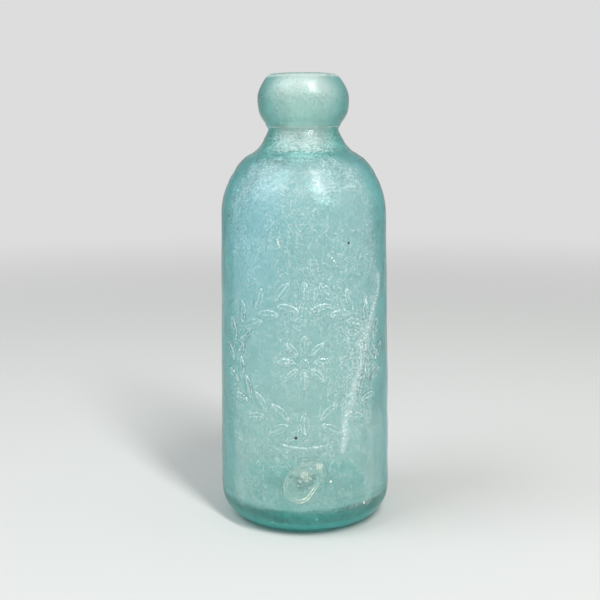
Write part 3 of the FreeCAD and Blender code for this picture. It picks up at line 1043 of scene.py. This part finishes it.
def outer_veil(nodes, at):
    """Haze on the outside, thinner edge-on, with a painted rim light: a pale band of haze just inside the
    edges. The base band has drips in place of it.
    """
    scuffs = nodes.weighted(((at.scuff_grain, 0.32), (at.worms, 0.23)))
    thin = nodes.weighted((
        (at.patches, 0.03),
        (at.blotches, 0.07),
        (at.scratches, 0.25),
        (at.tooling, 0.11),
        (at.tooled, 0.03),
    ))
    veil = nodes.sum(
        thin,
        at.runs,
        at.bowl_film,
        at.shoulder_veil,
        nodes.product(scuffs, at.pitted_scuffs, at.scuffed),
        # Worn edges of the relief, partly a painted highlight
        nodes.product(at.relief_edge, at.worn_grain),
        # A pale band of haze round the neck, partly wear and partly painted light
        nodes.product(at.worn_neck, at.faint_grain),
    )
    veil = nodes.blend(at.on_lip, veil, nodes.sum(at.lip_grain, at.lip_crown))
    # Painted rim light: a pale band of haze where the wall is seen nearly edge-on
    veil = nodes.sum(veil, nodes.product(at.wall_edge, at.wall_edge_share))
    veil = nodes.sum(nodes.product(veil, at.above_base), nodes.product(at.drips, at.drip_share))
    return nodes.product(veil, at.veil_share)


def inner_film(nodes, at):
    """Dried film on the inside: low down, in an upright pale band low on the right front, in a ring round
    the floor and in the bore.
    """
    low = nodes.product(at.low_film, at.floor_film)
    film_band = nodes.product(at.tide_line, at.tide_front, at.tide_top, at.tide_foot)
    ring = nodes.product(at.ring_foot, at.ring_top)
    return nodes.product(nodes.sum(nodes.highest(low, film_band, ring), at.bore_film), at.faint_grain)


def glass_tint(nodes, at):
    """Tint of the clean glass, with painted shade at its edges: a deeper tint wherever the wall is seen
    edge-on.
    """
    # Painted light: a paler upright band near the right edge of the lower body, towards the front, where
    # the edge shade is lifted
    glow = nodes.product(at.glow_line, at.glow_front, at.glow_top)
    # Painted shade: how much of the deeper edge tint each part takes where it is seen edge-on
    edge = nodes.blend(at.on_shoulder, nodes.sum(at.wall_tint, at.rim_tint), at.shoulder_tint)
    edge = nodes.product(nodes.blend(at.on_neck, edge, at.neck_tint), nodes.rest(glow))
    edge_shade_colour = nodes.layers(EDGE_ON_SHADE_COLOUR, (
        (at.on_neck, NECK_EDGE_SHADE_COLOUR),
        (at.on_lip, LIP_EDGE_SHADE_COLOUR),
        (at.base_edge, BASE_EDGE_SHADE_COLOUR),
    ))
    return nodes.layers(LOW_GLASS_COLOUR, (
        # Partly a painted cool reflection: the high tint is strongest on the upper left
        (nodes.product(at.high, at.high_end, at.high_side), HIGH_GLASS_AND_REFLECTION_COLOUR),
        (nodes.product(at.on_base, at.outside), BASE_COLOUR),
        (nodes.product(at.hollow_floor, at.inside), HOLLOW_FLOOR_COLOUR),
        # Pale neck tint: partly a stain, partly painted light
        (nodes.product(at.on_neck, NECK_STAIN_AND_LIGHT_SHARE), STAIN_COLOUR),
        (edge, edge_shade_colour),
        # Painted shade in the bruise's bowl
        (at.bruised, BRUISE_SHADE_COLOUR),
        # Painted contact shadow at the foot of the base
        (nodes.product(at.base_worn, at.outside), BASE_CONTACT_SHADE_COLOUR),
    ))


def marked_colour(nodes, at, marks):
    """The tint under the colours of the marks."""
    stained = nodes.highest(marks.white, nodes.blend(at.outside, marks.film, at.bowl_film))
    cool = nodes.highest(nodes.ramp(at.pale_streak, *STREAK_COLOUR_BAND), at.pitted)
    stain = nodes.layers(STAIN_COLOUR, ((at.cream, CREAM_COLOUR), (cool, STREAK_COLOUR)))
    return nodes.layers(glass_tint(nodes, at), (
        (nodes.math("MULTIPLY", stained, STAIN_GAIN, clamp=True), stain),
        (nodes.product(marks.cracks, at.outside), CRACK_COLOUR),
        (marks.specks, SPECK_COLOUR),
    ))


def skin_roughness(nodes, at, white):
    """Roughness: a polished inside, and an outside dulled by wear."""
    roughness = nodes.sum(at.grain_roughness, nodes.product(at.patches, PATCH_ROUGHNESS))
    roughness = nodes.math("ADD", roughness, nodes.product(white, WHITE_ROUGHNESS), clamp=True)
    roughness = nodes.sum(roughness, at.lip_roughness, at.shoulder_roughness)
    return nodes.blend(at.outside, INSIDE_ROUGHNESS, roughness)


def skin_bump(nodes, at):
    """The marks' fine height, in millimetres, smoother on the shoulder and the lip."""
    height = nodes.weighted((
        (at.grain, 0.10),
        (at.grit, 0.03),
        (at.worms, -0.04),
        (at.scratches, -0.03),
        (at.tooling, -0.05),
        (at.pits, -0.18),
    ))
    height = nodes.product(height, at.outside, at.lip_bump, nodes.rest(at.shoulder_smoothing))
    height = nodes.sum(height, nodes.product(at.groove, -GROOVE_DEPTH))
    inputs = {"Strength": BUMP_STRENGTH, "Distance": MM, "Height": height}
    return nodes.add("ShaderNodeBump", inputs).outputs["Normal"]


def aqua_glass():
    """Aqua glass: the colour comes from absorption in its depth, the haze from its worn skin."""
    material = bpy.data.materials.new("aqua_glass")
    nodes = Nodes(material)
    at = shared_fields(nodes)
    marks = SimpleNamespace(
        cracks=dark_marks(nodes, at),
        white=pale_marks(nodes, at),
        film=inner_film(nodes, at),
        specks=nodes.product(nodes.spots(DARK_SPECKS), at.outside),
    )
    skin = nodes.blend(at.outside, marks.film, outer_veil(nodes, at))
    haze = nodes.highest(skin, marks.white, nodes.product(marks.cracks, CRACK_HAZE))
    glass = nodes.add("ShaderNodeBsdfPrincipled", {
        "Base Color": marked_colour(nodes, at, marks),
        "Transmission Weight": nodes.product(nodes.rest(haze), nodes.rest(marks.specks)),
        "Roughness": skin_roughness(nodes, at, marks.white),
        "Normal": skin_bump(nodes, at),
    })
    glass.inputs["IOR"].default_value = IOR
    depth = nodes.add("ShaderNodeVolumeAbsorption")
    depth.inputs["Color"].default_value = ABSORPTION_COLOUR
    depth.inputs["Density"].default_value = ABSORPTION_DENSITY
    nodes.add("ShaderNodeOutputMaterial", {"Surface": glass.outputs[0], "Volume": depth.outputs[0]})
    return material


bottle = make_bottle()
bottle.data.materials.append(aqua_glass())
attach(bottle, "root")
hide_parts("bottle")


# The studio: a pale floor that runs out into a pale surround, a soft key light and a wide fill. It is in
# metres, but the gap under the bottle is in millimetres
SURROUND = (0.72, 0.72, 0.72, 1)
FLOOR_COLOUR = (0.70, 0.70, 0.69, 1)
FLOOR_GAP = 0.05
FLOOR_RADIUS = 3.0
FLOOR_SIDES = 96
FADE_START = 0.30
FADE_END = 1.10
# How much of the bare surround shows through glass and in reflections, and how strongly it lights
THROUGH_GLASS = 0.95
MIRRORED = 0.3
SURROUND_LIGHT = 0.62
# Lamps: angle right of the camera, angle up, distance, width and height, power and colour
LAMPS = {
    "key": (28, 50, 1.1, (0.13, 0.65), 8.5, (1.0, 1.0, 0.98)),
    "fill": (-66, 52, 1.3, (0.8, 0.7), 6.5, (0.88, 0.98, 1.0)),
}


def seen_directly(nodes):
    """1 for rays from the camera, and for those that metal or glass sends on."""
    path = nodes.add("ShaderNodeLightPath")
    mirrored = nodes.product(path.outputs["Is Glossy Ray"], MIRRORED)
    return nodes.highest(path.outputs["Is Camera Ray"], mirrored, path.outputs["Is Transmission Ray"])


def floor_material():
    """A pale floor that fades into the surround away from the bottle."""
    material = bpy.data.materials.new("floor")
    nodes = Nodes(material)
    ground = nodes.add("ShaderNodeBsdfDiffuse", {"Color": FLOOR_COLOUR})
    glow = nodes.add("ShaderNodeEmission", {"Color": SURROUND})
    place = nodes.add("ShaderNodeTexCoord").outputs["Object"]
    length = nodes.add("ShaderNodeVectorMath", {0: place}, operation="LENGTH").outputs["Value"]
    through = nodes.add("ShaderNodeLightPath").outputs["Is Transmission Ray"]
    away = nodes.highest(nodes.ramp(length, FADE_START, FADE_END), nodes.product(through, THROUGH_GLASS))
    away = nodes.product(away, seen_directly(nodes))
    mix = nodes.add("ShaderNodeMixShader", {0: away, 1: ground.outputs[0], 2: glow.outputs[0]})
    nodes.add("ShaderNodeOutputMaterial", {"Surface": mix.outputs[0]})
    return material


def make_floor():
    """A round floor just under the bottle."""
    mesh = bpy.data.meshes.new("floor")
    turns = [2 * math.pi * k / FLOOR_SIDES for k in range(FLOOR_SIDES)]
    rim = [(FLOOR_RADIUS * math.cos(t), FLOOR_RADIUS * math.sin(t), 0) for t in turns]
    mesh.from_pydata(rim, [], [tuple(range(FLOOR_SIDES))])
    floor = bpy.data.objects.new("floor", mesh)
    floor.location.z = -FLOOR_GAP * MM
    bpy.context.scene.collection.objects.link(floor)
    mesh.materials.append(floor_material())


def make_world():
    """The pale surround, dimmer as a light than it looks."""
    world = bpy.data.worlds.new("surround")
    nodes = Nodes(world)
    strength = nodes.blend(seen_directly(nodes), SURROUND_LIGHT, 1.0)
    background = nodes.add("ShaderNodeBackground", {"Color": SURROUND, "Strength": strength})
    nodes.add("ShaderNodeOutputWorld", {"Surface": background.outputs[0]})
    bpy.context.scene.world = world


def make_lamp(name, azimuth, elevation, distance, size, power, colour):
    """A lamp that faces the bottle, placed by its angle right of the camera and its height."""
    light = bpy.data.lights.new(name, "AREA")
    light.shape = "RECTANGLE"
    light.size, light.size_y = size
    light.energy = power
    light.color = colour
    turn, rise = math.radians(azimuth), math.radians(elevation)
    way = Vector((math.sin(turn) * math.cos(rise), -math.cos(turn) * math.cos(rise), math.sin(rise)))
    lamp = bpy.data.objects.new(name, light)
    lamp.location = way * distance + Vector((0, 0, HEIGHT * MM / 2))
    lamp.rotation_euler = way.to_track_quat("Z", "Y").to_euler()
    bpy.context.scene.collection.objects.link(lamp)


# The camera, from the photograph's perspective: metres and degrees, focal length in pixels of 600
CAMERA_DISTANCE = 0.3799
CAMERA_HEIGHT = 0.1507
CAMERA_DIP = 9.8
CAMERA_YAW = 0.25
CAMERA_ROLL = -0.31
FOCAL_PIXELS = 984.0
IMAGE_PIXELS = 600
SENSOR_MM = 36.0
CLIP_START = 0.01


def make_camera():
    """The camera that took the photograph."""
    data = bpy.data.cameras.new("camera")
    data.sensor_width = SENSOR_MM
    data.lens = FOCAL_PIXELS / IMAGE_PIXELS * SENSOR_MM
    data.clip_start = CLIP_START
    camera = bpy.data.objects.new("camera", data)
    turn = (
        Matrix.Rotation(math.radians(CAMERA_YAW), 4, "Z")
        @ Matrix.Rotation(math.radians(90 - CAMERA_DIP), 4, "X")
        @ Matrix.Rotation(math.radians(CAMERA_ROLL), 4, "Z")
    )
    camera.matrix_world = Matrix.Translation((0, -CAMERA_DISTANCE, CAMERA_HEIGHT)) @ turn
    bpy.context.scene.collection.objects.link(camera)
    bpy.context.scene.camera = camera


make_floor()
make_world()
for lamp_name, lamp_facts in LAMPS.items():
    make_lamp(lamp_name, *lamp_facts)
make_camera()
scene = bpy.context.scene
scene.view_settings.view_transform = "Standard"
scene.cycles.max_bounces = 32
scene.cycles.transmission_bounces = 24
scene.cycles.glossy_bounces = 24
scene.cycles.diffuse_bounces = 4
